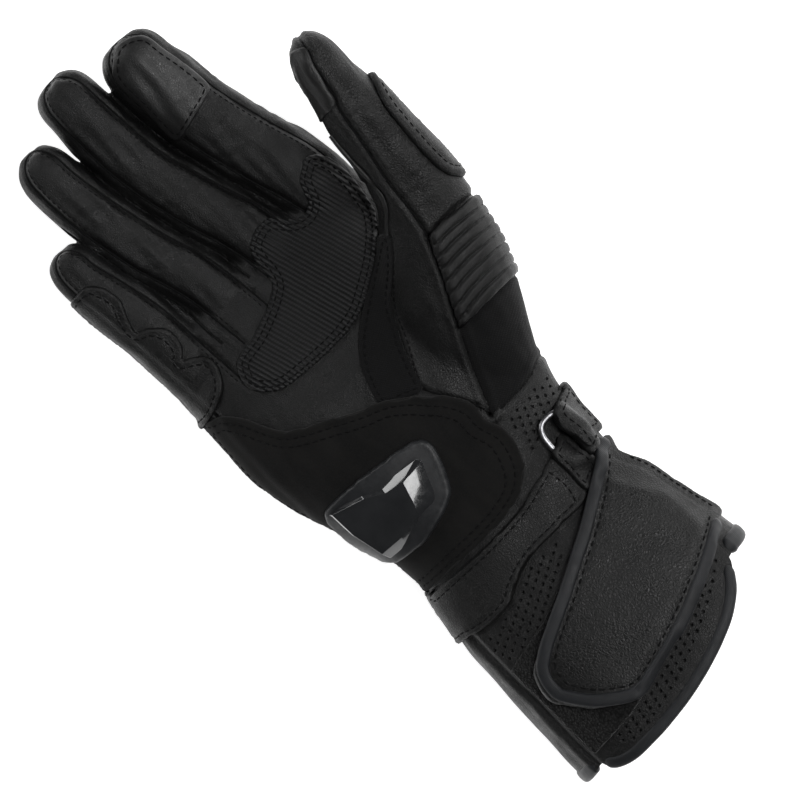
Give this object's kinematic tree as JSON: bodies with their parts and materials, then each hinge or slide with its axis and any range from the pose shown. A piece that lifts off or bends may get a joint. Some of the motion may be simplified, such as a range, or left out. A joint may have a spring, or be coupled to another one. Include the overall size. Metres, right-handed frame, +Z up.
{
  "type": "motorcycle gauntlet",
  "caption": "Right-hand leather riding gauntlet lying palm up, with a palm slider, ribbed thumb panel, wrist strap through a ring and flared cuff under a closure flap.",
  "frame": {"origin": "on the surface that the glove rests on, under the middle of the palm", "axes": "+Y to the fingertips, +X to the thumb side, +Z up out of the palm"},
  "size_m": [0.1336, 0.3118, 0.0682],
  "materials": {
    "leather": "near-black grained leather, low sheen",
    "smooth_leather": "near-black smooth leather",
    "perforated_leather": "near-black leather with rows of small holes",
    "suede": "matt black suede",
    "stretch_fabric": "black matt stretch cloth",
    "grip_fabric": "black ribbed grip cloth, slightly shiny",
    "loop_pile": "black looped pile",
    "binding": "black rubbery edge binding",
    "moulded_rubber": "dark grey matt rubber",
    "gloss_insert": "black high-gloss plastic",
    "steel_ring": "polished steel"
  },
  "bodies": {
    "root": {"palm_panel": "leather", "back_panel": "leather", "thumb_inner_panel": "leather", "thumb_outer_panel": "leather", "accordion_panel": "leather", "stretch_panel": "stretch_fabric", "grip_patch": "grip_fabric", "thenar_strip": "stretch_fabric", "heel_patch": "suede", "little_finger_guard": "leather", "index_tip_patch": "smooth_leather", "thumb_tip_patch": "smooth_leather", "thumb_guard": "leather", "slider_dome": "gloss_insert", "slider_frame": "moulded_rubber", "cuff_front": "perforated_leather", "cuff_front_binding": "binding", "cuff_back": "leather", "cuff_back_binding": "binding", "loop_pad": "loop_pile", "closure_flap": "leather", "flap_binding": "binding", "d_ring": "steel_ring", "wrist_strap": "leather", "ring_tab": "leather"}
  },
  "joints": []
}
